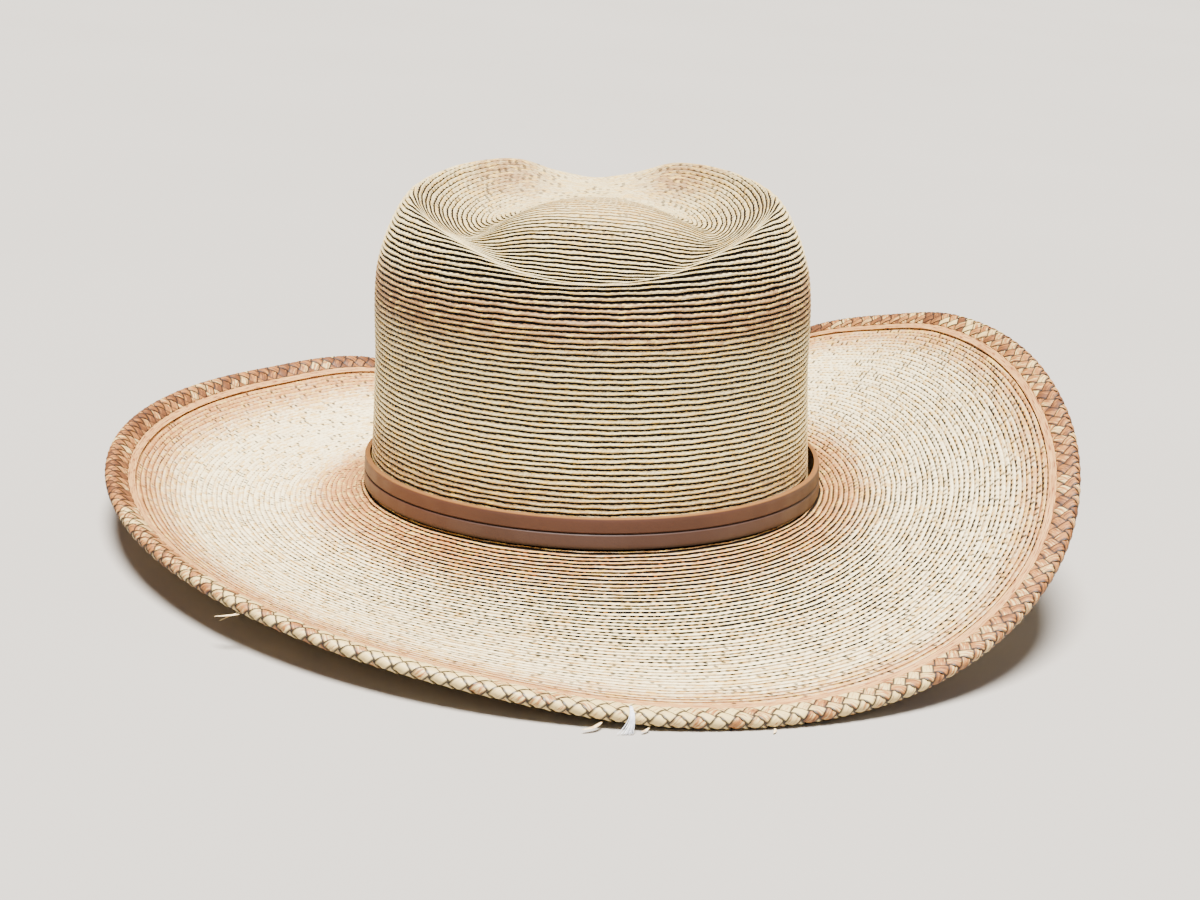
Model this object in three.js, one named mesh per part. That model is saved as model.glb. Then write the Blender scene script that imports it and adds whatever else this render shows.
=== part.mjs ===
// A straw cowboy hat: a dented crown, a wide brim that dips front and back and turns up at the
// sides, a plaited binding folded over the brim's edge, and a leather strap round the crown.
// Millimetres and degrees. The hat faces +Y, its right side in the table angles is +X, +Z is up.
import * as THREE from 'three';

// Oval of the crown's outer face where it meets the brim, and how it narrows upwards.
const HALF_WIDTH = 86;
const HALF_LENGTH = 102.3;
const TAPER_PER_MM = 0.00043;

// Thickness of the sewn straw, of the plaited binding and of the strap, and the gap between pieces.
const STRAW = 2;
const BINDING = 1.2;
const STRAP = 2;
const GAP = 0.3;

// Brim measured along its upper face, and the width of the binding on either face.
const BRIM_REACH = 106.7;
const BINDING_WIDTH = 9.5;

// Crown: the turn of its dents from the oval's own axis, and the middle of the dish, ahead of the
// oval's middle.
const DENT_TURN = -11;
const DISH_AHEAD = 15;
const DISH_HEIGHT = 107.5;

// Mound that stands in the dish behind the oval's middle and fades out on every side.
const MOUND_BEHIND = 38;
const MOUND_HEIGHT = 12;
const MOUND_HALF_WIDTH = 43;
const MOUND_HALF_LENGTH = 30;

// Strap: height, the line tooled along its middle, its rounded edges, and the slack at either side.
const STRAP_HEIGHT = 11.4;
const LINE_DEPTH = 0.7;
const LINE_WIDTH = 1.2;
const LINE_AT = 0.5;
const EDGE_ROUND = 0.6;
const SLACK_RIGHT = 2.8;
const SLACK_LEFT = 0.8;

// Lean of the crown to the front and to the left when the hat stands on the low ends of its brim.
const LEAN_FRONT = 3.24;
const LEAN_LEFT = 3.4;

// Colours and roughness of the straw, the plaited binding and the leather.
const STRAW_COLOUR = 0xe0c79c;
const STRAW_ROUGHNESS = 0.75;
const BINDING_COLOUR = 0xd2ae82;
const BINDING_ROUGHNESS = 0.7;
const LEATHER_COLOUR = 0x9c6a45;
const LEATHER_ROUGHNESS = 0.5;

// How the dish falls from its middle and rises to the rim, the parts of the way where its height is
// worked out, and the number of steps between one such place and the next, down to the brim.
const DISH_FALL = 2.6;
const RIM_RISE = 1.6;
const DISH_PARTS = [0, 0.18, 0.34, 0.48, 0.6, 0.71, 0.81, 0.9];
const LINE_STEPS = [2, 2, 2, 1, 1, 1, 2, 2, 5, 3, 2];

// Number of sections round the hat, and of steps across the open brim and under the binding.
const SECTIONS = 60;
const OPEN_STEPS = 6;
const BOUND_STEPS = 3;

// Parts of the binding's width where its faces are worked out, and the turns of its fold.
const BINDING_PARTS = [1, 0.5, 0];
const FOLD_TURNS = [-60, -20, 20, 60];

// Distance from the crown to the straw's own edge, inside the binding's fold.
const SHEET_REACH = BRIM_REACH - BINDING - GAP - STRAW / 2;

// Brim sections: slope beside the crown and slope at the edge, upwards positive.
const BRIM_SECTIONS = [
  { angle: 0, atCrown: 19.5, atEdge: 37.3 },
  { angle: 20, atCrown: 24.9, atEdge: 37.1 },
  { angle: 36, atCrown: 19.5, atEdge: 32.5 },
  { angle: 50, atCrown: 10, atEdge: 28 },
  { angle: 63, atCrown: -5, atEdge: 17 },
  { angle: 77, atCrown: -13, atEdge: 12 },
  { angle: 90, atCrown: -15.5, atEdge: 10.7 },
  { angle: 96, atCrown: -15.8, atEdge: 12.7 },
  { angle: 102, atCrown: -16, atEdge: 14.2 },
  { angle: 113, atCrown: -16.5, atEdge: 33.5 },
  { angle: 130, atCrown: -17, atEdge: 36.5 },
  { angle: 150, atCrown: -18, atEdge: 38.5 },
  { angle: 170, atCrown: -19, atEdge: 37 },
  { angle: 190, atCrown: -20, atEdge: 31.5 },
  { angle: 210, atCrown: -22, atEdge: 24.5 },
  { angle: 230, atCrown: -24.5, atEdge: 17 },
  { angle: 250, atCrown: -26, atEdge: 7 },
  { angle: 270, atCrown: -27.4, atEdge: -4.3 },
  { angle: 285, atCrown: -26.8, atEdge: -7.3 },
  { angle: 300, atCrown: -23.1, atEdge: -3.5 },
  { angle: 320, atCrown: -12.1, atEdge: 10.6 },
  { angle: 340, atCrown: 4.5, atEdge: 27.5 },
];

// Crown sections, the same on both sides, by the angle from the front: height of the rim, how far
// its crest lies inside the wall and above the wall's top, height of the dish inside it, and where
// the dish is lowest as a part of the way to the rim.
const CROWN_SECTIONS = [
  { angle: 0, rim: 110.5, inset: 11, above: 24, dish: 107, lowAt: 0.5 },
  { angle: 14, rim: 113.5, inset: 11, above: 24, dish: 106.5, lowAt: 0.5 },
  { angle: 29, rim: 119, inset: 11, above: 24, dish: 105, lowAt: 0.52 },
  { angle: 50, rim: 118.5, inset: 11, above: 24, dish: 103.5, lowAt: 0.55 },
  { angle: 72, rim: 115.5, inset: 11, above: 24, dish: 102.5, lowAt: 0.58 },
  { angle: 95, rim: 112.5, inset: 11, above: 23, dish: 101, lowAt: 0.63 },
  { angle: 120, rim: 108, inset: 10, above: 20, dish: 97.5, lowAt: 0.72 },
  { angle: 142, rim: 101.5, inset: 8.5, above: 15, dish: 94, lowAt: 0.8 },
  { angle: 160, rim: 95.5, inset: 7.5, above: 11.5, dish: 91.5, lowAt: 0.85 },
  { angle: 180, rim: 93, inset: 7, above: 10, dish: 90.5, lowAt: 0.86 },
];

const radians = THREE.MathUtils.degToRad;

// Value of a table column between two rows, on a smooth curve through the rows about it.
function between(rows, column, angle) {
  const next = rows.findIndex((row) => row.angle > angle);
  const span = [next - 2, next - 1, next, next + 1].map((index) => rows[index]);
  const [before, start, end, after] = span;
  const rise = (low, high) => (high[column] - low[column]) / (high.angle - low.angle);
  const width = end.angle - start.angle;
  const part = (angle - start.angle) / width;
  const square = part * part;
  const cube = square * part;
  return (2 * cube - 3 * square + 1) * start[column]
    + (cube - 2 * square + part) * width * rise(before, end)
    + (3 * square - 2 * cube) * end[column]
    + (cube - square) * width * rise(start, after);
}

// A table that runs once round the hat, carried on past both ends.
function allRound(rows) {
  const turned = (row, turn) => ({ ...row, angle: row.angle + turn });
  const behind = rows.slice(-2).map((row) => turned(row, -360));
  const ahead = rows.slice(0, 3).map((row) => turned(row, 360));
  return [...behind, ...rows, ...ahead];
}

// A table for one side of the hat, mirrored to run once round it.
function bothSides(rows) {
  const mirrored = rows.slice(1, -1).reverse().map((row) => ({ ...row, angle: 360 - row.angle }));
  return allRound([...rows, ...mirrored]);
}

const brimTable = allRound(BRIM_SECTIONS);
const crownTable = bothSides(CROWN_SECTIONS);

// A point of the crown's oval at a height, moved out along the oval's own normal.
function ovalPoint(angle, height, outwards) {
  const size = 1 - TAPER_PER_MM * Math.max(height, 0);
  const turn = radians(angle);
  const outward = ovalNormal(angle);
  return new THREE.Vector3(
    HALF_WIDTH * size * Math.cos(turn) + outwards * outward.x,
    HALF_LENGTH * size * Math.sin(turn) + outwards * outward.y,
    height,
  );
}

function ovalNormal(angle) {
  const turn = radians(angle);
  return new THREE.Vector3(Math.cos(turn) / HALF_WIDTH, Math.sin(turn) / HALF_LENGTH, 0).normalize();
}

// A point on the brim, by its distance from the crown along the upper face, whose slope changes
// evenly from the crown to the edge, raised by a distance square to that face.
function brimPoint(angle, reach, raised) {
  const first = radians(between(brimTable, 'atCrown', angle));
  const last = radians(between(brimTable, 'atEdge', angle));
  const bend = (last - first) / BRIM_REACH;
  const slope = first + bend * Math.max(reach, 0);
  const flat = Math.min(reach, 0);
  const out = (Math.sin(slope) - Math.sin(first)) / bend;
  const up = (Math.cos(first) - Math.cos(slope)) / bend;
  const tilt = reach > 0 ? slope : 0;
  const point = ovalPoint(angle, 0, flat + out - raised * Math.sin(tilt));
  point.z = up + raised * Math.cos(tilt);
  return point;
}

// A point of the dish's own axis, turned with the dents, ahead of the oval's middle or behind it.
function onDentAxis(ahead, height) {
  const turn = radians(DENT_TURN);
  return new THREE.Vector3(-ahead * Math.sin(turn), ahead * Math.cos(turn), height);
}

const dishMiddle = onDentAxis(DISH_AHEAD, DISH_HEIGHT);
const moundMiddle = onDentAxis(-MOUND_BEHIND, 0);

// Height that the mound adds at a point of the dish.
function moundAt(point) {
  const across = (point.x - moundMiddle.x) / MOUND_HALF_WIDTH;
  const along = (point.y - moundMiddle.y) / MOUND_HALF_LENGTH;
  return MOUND_HEIGHT * Math.exp(-(Math.hypot(across, along) ** 3));
}

// One line of the crown's outer face, from the middle of the dish over the rim down to the brim.
function crownLine(angle) {
  const dentAngle = THREE.MathUtils.euclideanModulo(angle - 90 - DENT_TURN, 360);
  const [rim, inset, above, dish, lowAt] = ['rim', 'inset', 'above', 'dish', 'lowAt']
    .map((column) => between(crownTable, column, dentAngle));
  const crest = ovalPoint(angle, rim, -inset);
  const onDish = (part) => {
    const point = dishMiddle.clone().lerp(crest, part);
    const fall = Math.min(part / lowAt, 1) ** DISH_FALL;
    const rise = (Math.max(part - lowAt, 0) / (1 - lowAt)) ** RIM_RISE;
    const floor = THREE.MathUtils.lerp(DISH_HEIGHT, dish, fall);
    return point.setZ(THREE.MathUtils.lerp(floor, rim, rise) + moundAt(point));
  };
  const wallTop = rim - above;
  const line = new THREE.CatmullRomCurve3([
    ...DISH_PARTS.map(onDish),
    crest,
    ovalPoint(angle, wallTop, 0),
    ovalPoint(angle, wallTop / 2, 0),
    ovalPoint(angle, GAP, 0),
  ]);
  const stops = LINE_STEPS.flatMap((steps, place) => (
    Array.from({ length: steps }, (_, step) => (place + step / steps) / LINE_STEPS.length)
  ));
  return [...stops, 1].map((stop) => line.getPoint(stop));
}

// Grid of points round the hat, one row of points for each section.
function gridAround(lineAt) {
  return Array.from({ length: SECTIONS }, (_, section) => lineAt(section * 360 / SECTIONS));
}

// Closed ring whose section is the same loop of points at every angle.
function ringGeometry(grid) {
  const loop = grid[0].length;
  const index = [];
  grid.forEach((_, section) => {
    const here = section * loop;
    const there = ((section + 1) % grid.length) * loop;
    for (let step = 0; step < loop; step += 1) {
      const next = (step + 1) % loop;
      index.push(here + step, there + step, there + next, here + step, there + next, here + next);
    }
  });
  return indexedGeometry(grid.flat(), index);
}

// Closed shell between an outer and an inner grid whose lines start at one point, the tip.
function cappedGeometry(outer, inner) {
  const steps = outer[0].length - 1;
  const points = [outer[0][0], inner[0][0]];
  const loops = outer.map((line, section) => [...line.slice(1), ...inner[section].slice(1).reverse()]);
  const loop = 2 * steps;
  const index = [];
  loops.forEach((_, section) => {
    const here = points.length + section * loop;
    const there = points.length + ((section + 1) % loops.length) * loop;
    index.push(0, here, there);
    for (let step = 0; step < loop - 1; step += 1) {
      index.push(here + step, here + step + 1, there + step + 1);
      index.push(here + step, there + step + 1, there + step);
    }
    index.push(1, there + loop - 1, here + loop - 1);
  });
  return indexedGeometry([...points, ...loops.flat()], index);
}

function indexedGeometry(points, index) {
  const geometry = new THREE.BufferGeometry().setFromPoints(points);
  geometry.setIndex(index);
  geometry.computeVertexNormals();
  return geometry;
}

// The inner face of the crown: the outer grid moved in by the thickness of the straw.
function insideOf(grid) {
  const sections = grid.length;
  return grid.map((line, section) => line.map((point, step) => {
    if (step === 0) return point.clone().setZ(point.z - STRAW);
    const before = grid[(section + sections - 1) % sections][step];
    const after = grid[(section + 1) % sections][step];
    const above = line[step - 1];
    const below = line[Math.min(step + 1, line.length - 1)];
    const around = after.clone().sub(before);
    const down = below.clone().sub(above);
    const inwards = around.cross(down).normalize().multiplyScalar(STRAW);
    const moved = point.clone().add(inwards);
    return step === line.length - 1 ? moved.setZ(point.z) : moved;
  }));
}

function makeCrown() {
  const outer = gridAround(crownLine);
  return cappedGeometry(outer, insideOf(outer));
}

// Distances from the crown along the brim: under the crown's wall, out to the binding, under it.
function brimReaches() {
  const start = SHEET_REACH - BINDING_WIDTH;
  const bound = BINDING_WIDTH / BOUND_STEPS;
  const out = Array.from({ length: OPEN_STEPS }, (_, step) => step * start / OPEN_STEPS);
  const under = Array.from({ length: BOUND_STEPS }, (_, step) => start + step * bound);
  return [-STRAW, ...out, ...under, SHEET_REACH];
}

function makeBrim() {
  const reaches = brimReaches();
  return ringGeometry(gridAround((angle) => [
    ...reaches.map((reach) => brimPoint(angle, reach, -STRAW)),
    ...reaches.toReversed().map((reach) => brimPoint(angle, reach, 0)),
  ]));
}

// One face of the folded binding, at a distance from the brim's two faces, from below to above.
function bindingFace(angle, away) {
  const legs = BINDING_PARTS.map((part) => SHEET_REACH - part * BINDING_WIDTH);
  const radius = STRAW / 2 + away;
  const fold = FOLD_TURNS.map((turn) => brimPoint(
    angle,
    SHEET_REACH + radius * Math.cos(radians(turn)),
    radius * Math.sin(radians(turn)) - STRAW / 2,
  ));
  return [
    ...legs.map((reach) => brimPoint(angle, reach, -STRAW - away)),
    ...fold,
    ...legs.toReversed().map((reach) => brimPoint(angle, reach, away)),
  ];
}

function makeBinding() {
  return ringGeometry(gridAround((angle) => [
    ...bindingFace(angle, GAP + BINDING),
    ...bindingFace(angle, GAP).reverse(),
  ]));
}

// Slack of the strap off the crown's wall: most at the right side, a little at the left.
function strapSlack(angle) {
  const side = Math.cos(radians(angle));
  return (side > 0 ? SLACK_RIGHT : SLACK_LEFT) * side ** 4;
}

// Section of the strap: from the brim up its outer face with the tooled line, and down its back.
function strapLoop(angle) {
  const back = GAP + strapSlack(angle);
  const face = back + STRAP;
  const slope = Math.tan(radians(between(brimTable, 'atCrown', angle)));
  const foot = GAP + Math.max(0, slope) * face;
  const line = foot + STRAP_HEIGHT * LINE_AT;
  const top = foot + STRAP_HEIGHT;
  return [
    [back, foot],
    [face - EDGE_ROUND, foot],
    [face, foot + EDGE_ROUND],
    [face, line - LINE_WIDTH / 2],
    [face - LINE_DEPTH, line],
    [face, line + LINE_WIDTH / 2],
    [face, top - EDGE_ROUND],
    [face - EDGE_ROUND, top],
    [back, top],
  ].map(([outwards, height]) => ovalPoint(angle, height, outwards));
}

function makeStrap() {
  return ringGeometry(gridAround(strapLoop));
}

function piece(name, geometry, color, roughness) {
  const material = new THREE.MeshStandardMaterial({ color, roughness, metalness: 0 });
  const mesh = new THREE.Mesh(geometry, material);
  mesh.name = name;
  return mesh;
}

const hat = new THREE.Group();
hat.add(
  piece('crown', makeCrown(), STRAW_COLOUR, STRAW_ROUGHNESS),
  piece('brim', makeBrim(), STRAW_COLOUR, STRAW_ROUGHNESS),
  piece('edge_binding', makeBinding(), BINDING_COLOUR, BINDING_ROUGHNESS),
  piece('hat_band', makeStrap(), LEATHER_COLOUR, LEATHER_ROUGHNESS),
);

// The hat leans on the low ends of its brim, with its box centred over the origin.
hat.rotation.set(-radians(LEAN_FRONT), -radians(LEAN_LEFT), 0);
const standing = new THREE.Group();
standing.add(hat);
const box = new THREE.Box3().setFromObject(standing, true);
const middle = box.getCenter(new THREE.Vector3());
hat.position.set(-middle.x, -middle.y, -box.min.z);

export default standing;
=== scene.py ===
# A straw cowboy hat: rows of sewn braid, a plaited edge and a leather strap, standing on its brim.
import math

import bpy
import numpy as np
from mathutils import Matrix, Vector


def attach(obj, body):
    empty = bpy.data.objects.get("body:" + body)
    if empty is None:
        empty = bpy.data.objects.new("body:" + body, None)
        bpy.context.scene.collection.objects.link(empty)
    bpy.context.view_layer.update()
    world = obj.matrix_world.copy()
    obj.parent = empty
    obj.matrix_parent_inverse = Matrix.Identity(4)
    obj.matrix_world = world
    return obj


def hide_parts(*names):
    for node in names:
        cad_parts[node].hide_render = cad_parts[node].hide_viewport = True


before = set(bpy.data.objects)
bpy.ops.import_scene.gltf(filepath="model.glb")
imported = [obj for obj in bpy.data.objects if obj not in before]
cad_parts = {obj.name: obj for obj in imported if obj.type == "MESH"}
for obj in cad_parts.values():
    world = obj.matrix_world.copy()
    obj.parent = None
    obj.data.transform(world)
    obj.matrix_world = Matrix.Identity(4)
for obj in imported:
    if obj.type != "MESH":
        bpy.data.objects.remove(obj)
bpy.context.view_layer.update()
chance = np.random.default_rng(11)

# Sizes of the hat, in millimetres and degrees, as its solids have them
MM = 0.001
HALF_WIDTH, HALF_LENGTH, TAPER_PER_MM = 86.0, 102.3, 0.00043
STRAW, BINDING, STRAP, GAP = 2.0, 1.2, 2.0, 0.3
BRIM_REACH, BINDING_WIDTH = 106.7, 9.5
SHEET_REACH = BRIM_REACH - BINDING - GAP - STRAW / 2
DENT_TURN, DISH_AHEAD, DISH_HEIGHT = -11.0, 15.0, 107.5
MOUND_BEHIND, MOUND_HEIGHT, MOUND_HALF_WIDTH, MOUND_HALF_LENGTH = 38.0, 12.0, 43.0, 30.0
DISH_FALL, RIM_RISE = 2.6, 1.6
DISH_PARTS = (0, 0.18, 0.34, 0.48, 0.6, 0.71, 0.81, 0.9)
STRAP_HEIGHT, LINE_DEPTH, LINE_WIDTH, LINE_AT = 11.4, 0.7, 1.2, 0.5
SLACK_RIGHT, SLACK_LEFT = 2.8, 0.8

# Lean of the hat on its brim, and the place of the crown's foot, with the hat's box over the origin
LEAN_FRONT, LEAN_LEFT = 3.24, 3.4
SEAT = (4.8874, -1.0427, 21.3110)

# Brim sections: angle, slope beside the crown, slope at the edge
BRIM_SECTIONS = (
    (0, 19.5, 37.3), (20, 24.9, 37.1), (36, 19.5, 32.5), (50, 10, 28), (63, -5, 17),
    (77, -13, 12), (90, -15.5, 10.7), (96, -15.8, 12.7), (102, -16, 14.2), (113, -16.5, 33.5),
    (130, -17, 36.5), (150, -18, 38.5), (170, -19, 37), (190, -20, 31.5), (210, -22, 24.5),
    (230, -24.5, 17), (250, -26, 7), (270, -27.4, -4.3), (285, -26.8, -7.3), (300, -23.1, -3.5),
    (320, -12.1, 10.6), (340, 4.5, 27.5),
)

# Crown sections from the front: angle, rim, inset of its crest, crest above the wall, dish, lowest part
CROWN_SECTIONS = (
    (0, 110.5, 11, 24, 107, 0.5), (14, 113.5, 11, 24, 106.5, 0.5), (29, 119, 11, 24, 105, 0.52),
    (50, 118.5, 11, 24, 103.5, 0.55), (72, 115.5, 11, 24, 102.5, 0.58),
    (95, 112.5, 11, 23, 101, 0.63), (120, 108, 10, 20, 97.5, 0.72), (142, 101.5, 8.5, 15, 94, 0.8),
    (160, 95.5, 7.5, 11.5, 91.5, 0.85), (180, 93, 7, 10, 90.5, 0.86),
)

# Rows of braid: their number on the crown, on its wall and on the brim, and the length of a plait step
CROWN_ROWS, SIDE_ROWS, BRIM_ROWS = 96, 47, 52
PLAIT_STEP, FEWEST_STEPS = 3.2, 2

# Section of a row on its outer and inner face: part of its width from the lip, and height
OUTER_ROW = ((0.0, -0.5), (0.05, 0.14), (0.24, 0.26), (0.62, -0.08))
INNER_ROW = ((0.0, 0.05), (0.5, -0.2))
LIP = 0.05

# Waves along the edge of a row: their number round the hat and depth, and how they swell its height
EDGE_WAVES = ((3, 0.06), (7, 0.05), (17, 0.05), (41, 0.05))
SWELL, SWELL_STEEPNESS = 0.021, 8

# How a gaping row rises: its rise, and the gape at which it lies flattest
GAPE_RISE, LEAST_GAPE = 4.5, -0.1

# Rows keep their width up the wall to a height, and above it all lines of the crown hold as many rows
WALL_TRUE_HEIGHT, LINE_LENGTH = 80.0, 197.5

# Fineness of the surfaces: points up a line of the crown, steps in a row, and lines round each piece
LINE_POINTS, DENSE = 420, 4
SIDE_LINES, TOP_LINES, BRIM_LINES, STRAP_LINES, GROUND_LINES = 300, 240, 300, 360, 300
TINY = 1e-9

# Camera of the photograph, in the crown's own frame
CAMERA_TURN, CAMERA_PITCH, CAMERA_ROLL = 8.6, 13.21, 1.08
CAMERA_AT = (4.36, -942.1, 233.7)
CAMERA_LENS, SENSOR = 73.0, 36.0


# Shape of the hat

def all_round(rows):
    """A table that runs once round the hat, carried on past both ends."""
    rows = np.array(rows, float)
    turn = np.zeros(rows.shape[1])
    turn[0] = 360
    return np.concatenate([rows[-2:] - turn, rows, rows[:3] + turn])


def both_sides(rows):
    """A table for one side of the hat, mirrored to run once round it."""
    rows = np.array(rows, float)
    mirrored = rows[1:-1][::-1].copy()
    mirrored[:, 0] = 360 - mirrored[:, 0]
    return all_round(np.concatenate([rows, mirrored]))


def between(table, column, angle):
    """Value of a column on a smooth curve through the rows about an angle."""
    x, y = table[:, 0], table[:, column]
    end = np.searchsorted(x, angle, side="right")
    width = x[end] - x[end - 1]
    part = (angle - x[end - 1]) / width
    first = (y[end] - y[end - 2]) / (x[end] - x[end - 2])
    last = (y[end + 1] - y[end - 1]) / (x[end + 1] - x[end - 1])
    square, cube = part**2, part**3
    return ((2 * cube - 3 * square + 1) * y[end - 1] + (cube - 2 * square + part) * width * first
            + (3 * square - 2 * cube) * y[end] + (cube - square) * width * last)


brim_table = all_round(BRIM_SECTIONS)
crown_table = both_sides(CROWN_SECTIONS)


def oval(angle, height, outwards):
    """Points of the crown's oval at a height, moved out along its own normal."""
    turn = np.radians(angle)
    size = 1 - TAPER_PER_MM * np.maximum(height, 0)
    across, along = np.cos(turn) / HALF_WIDTH, np.sin(turn) / HALF_LENGTH
    length = np.hypot(across, along)
    return np.stack([HALF_WIDTH * size * np.cos(turn) + outwards * across / length,
                     HALF_LENGTH * size * np.sin(turn) + outwards * along / length,
                     height + 0 * turn], -1)


def brim(angle, reach, raised):
    """Points of the brim by their distance from the crown, raised off its upper face."""
    angle = np.mod(angle, 360)
    first = np.radians(between(brim_table, 1, angle))
    last = np.radians(between(brim_table, 2, angle))
    bend = (last - first) / BRIM_REACH
    slope = first + bend * np.maximum(reach, 0)
    out = (np.sin(slope) - np.sin(first)) / bend + np.minimum(reach, 0)
    up = (np.cos(first) - np.cos(slope)) / bend
    tilt = np.where(reach > 0, slope, 0)
    points = oval(angle, 0 * up, out - raised * np.sin(tilt))
    points[..., 2] = up + raised * np.cos(tilt)
    return points


def smooth_curve(stops, parts):
    """Points of a smooth curve through stops, a row of stops for each line round the hat."""
    ends = [2 * stops[:, :1] - stops[:, 1:2], stops, 2 * stops[:, -1:] - stops[:, -2:-1]]
    stops = np.concatenate(ends, 1)
    step = np.sqrt(np.linalg.norm(np.diff(stops, axis=1), axis=-1, keepdims=True))
    rows = []
    for part in parts * (stops.shape[1] - 3):
        at = min(int(part), stops.shape[1] - 4)
        a, b, c, d = (stops[:, at + i] for i in range(4))
        ab, bc, cd = (step[:, at + i] for i in range(3))
        leave = ((b - a) / ab - (c - a) / (ab + bc) + (c - b) / bc) * bc
        reach = ((c - b) / bc - (d - b) / (bc + cd) + (d - c) / cd) * bc
        t = part - at
        rows.append(b + leave * t + (3 * (c - b) - 2 * leave - reach) * t**2
                    + (2 * (b - c) + leave + reach) * t**3)
    return np.stack(rows, 1)


def crown_lines(angle):
    """Lines of the crown's outer face from the brim up over the rim to the middle of the dish."""
    from_front = np.mod(angle - 90 - DENT_TURN, 360)
    rim, inset, above, dish, low_at = (between(crown_table, column, from_front) for column in range(1, 6))
    turn = math.radians(DENT_TURN)
    axis = np.array([-math.sin(turn), math.cos(turn), 0])
    middle = axis * DISH_AHEAD + np.array([0, 0, DISH_HEIGHT])
    mound = -axis * MOUND_BEHIND
    crest = oval(angle, rim, -inset)
    stops = []
    for part in DISH_PARTS:
        point = middle + (crest - middle) * part
        floor = DISH_HEIGHT + (dish - DISH_HEIGHT) * np.minimum(part / low_at, 1) ** DISH_FALL
        rise = (np.maximum(part - low_at, 0) / (1 - low_at)) ** RIM_RISE
        away = np.hypot((point[:, 0] - mound[0]) / MOUND_HALF_WIDTH,
                        (point[:, 1] - mound[1]) / MOUND_HALF_LENGTH)
        point[:, 2] = floor + (rim - floor) * rise + MOUND_HEIGHT * np.exp(-away**3)
        stops.append(point)
    top = rim - above
    stops += [crest, oval(angle, top, 0), oval(angle, top / 2, 0), oval(angle, 0 * top + GAP, 0)]
    return smooth_curve(np.stack(stops, 1), np.linspace(0, 1, LINE_POINTS))[:, ::-1]


def leaning(points):
    """Points or directions of the crown's own frame, turned with the hat's lean."""
    to_front = Matrix.Rotation(math.radians(-LEAN_FRONT), 3, "X")
    to_left = Matrix.Rotation(math.radians(-LEAN_LEFT), 3, "Y")
    return np.asarray(points) @ np.array(to_front @ to_left).T


def standing(points):
    """Points of the crown's own frame where the hat stands on the floor, in metres."""
    return (leaning(points) + np.array(SEAT)) * MM


def brim_reach(row):
    """Distance from the crown of a place among the brim's rows."""
    return SHEET_REACH - (SHEET_REACH + STRAW) * row / BRIM_ROWS


def strap_away(angle):
    """Distance of the strap's back from the crown, slack at both sides."""
    side = np.cos(np.radians(angle))
    return GAP + np.where(side > 0, SLACK_RIGHT, SLACK_LEFT) * side**4


def fade(low, high, value):
    """Smooth change from 0 at low to 1 at high."""
    part = np.clip((value - low) / (high - low), 0, 1)
    return part * part * (3 - 2 * part)


def hump(middle, width, value):
    """Smooth rise to 1 at a middle, falling away on both sides of it."""
    return np.exp(-(((value - middle) / width) ** 2))


def around(count):
    """Even angles once round the hat."""
    return np.arange(count) * 360.0 / count


# Surfaces that rows of braid follow: points and normals by row and by line round the hat

def with_normals(points):
    """A surface's points, and the normals that they give it."""
    along = np.gradient(points, axis=0)
    round_hat = np.roll(points, -1, 1) - np.roll(points, 1, 1)
    normals = np.cross(round_hat, along)
    length = np.linalg.norm(normals, axis=-1, keepdims=True)
    return points, np.where(length > TINY, normals / np.maximum(length, TINY), (0, 0, 1))


def crown_surface(count):
    """Outer face of the crown, from the brim to the middle of the dish."""
    lines = crown_lines(around(count))
    steps = np.linalg.norm(np.diff(lines, axis=1), axis=-1)
    length = np.concatenate([np.zeros((count, 1)), np.cumsum(steps, 1)], 1)
    stretch = (LINE_LENGTH - WALL_TRUE_HEIGHT) / (length[:, -1:] - WALL_TRUE_HEIGHT)
    above = np.maximum(length - WALL_TRUE_HEIGHT, 0)
    row = (np.minimum(length, WALL_TRUE_HEIGHT) + above * stretch) * CROWN_ROWS / LINE_LENGTH
    rows = np.linspace(0, CROWN_ROWS, CROWN_ROWS * DENSE + 1)
    points = [[np.interp(rows, row[i], lines[i, :, axis]) for axis in range(3)] for i in range(count)]
    return with_normals(np.stack(points).transpose(2, 0, 1))


def brim_surface(count):
    """Upper face of the brim, from its edge to just under the crown."""
    rows = np.linspace(0, BRIM_ROWS, BRIM_ROWS * DENSE + 1)
    return with_normals(brim(around(count)[None, :], brim_reach(rows[:, None]), 0.0))


# Building of pieces

OWN_UV_MAPS = ("rows", "strand", "strap")
MERGE_DISTANCE = 1e-7


def new_grid(columns, rows):
    """A flat grid, to be folded into a piece."""
    bpy.ops.object.select_all(action="DESELECT")
    bpy.ops.mesh.primitive_grid_add(x_subdivisions=columns, y_subdivisions=rows, size=1)
    return bpy.context.object


def wrapped(values):
    """A grid of values with its first row and its first column once more at its ends."""
    closed = np.concatenate([values, values[:1]])
    return np.concatenate([closed, closed[:, :1]], 1)


def folded_grid(name, lines):
    """A grid folded along lines round the hat, closed round it and closed along its section."""
    section, count = lines.shape[:2]
    piece = new_grid(count, section)
    piece.name = piece.data.name = name
    piece.data.vertices.foreach_set("co", standing(wrapped(lines)).ravel())
    return piece


def corner_places(piece, count):
    """Line round the hat and place in the section of each face's corners on a folded grid."""
    index = np.empty(len(piece.data.loops), int)
    piece.data.loops.foreach_get("vertex_index", index)
    return index % (count + 1), index // (count + 1)


def set_uv(piece, name, u, v):
    """Writes a UV map, corner by corner."""
    layer = piece.data.uv_layers.new(name=name)
    layer.data.foreach_set("uv", np.stack([u, v], -1).astype(np.float32).ravel())


def set_values(piece, name, values):
    """Writes a value for each point of a piece."""
    layer = piece.data.attributes.new(name, "FLOAT", "POINT")
    layer.data.foreach_set("value", np.asarray(values, np.float32).ravel())


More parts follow.
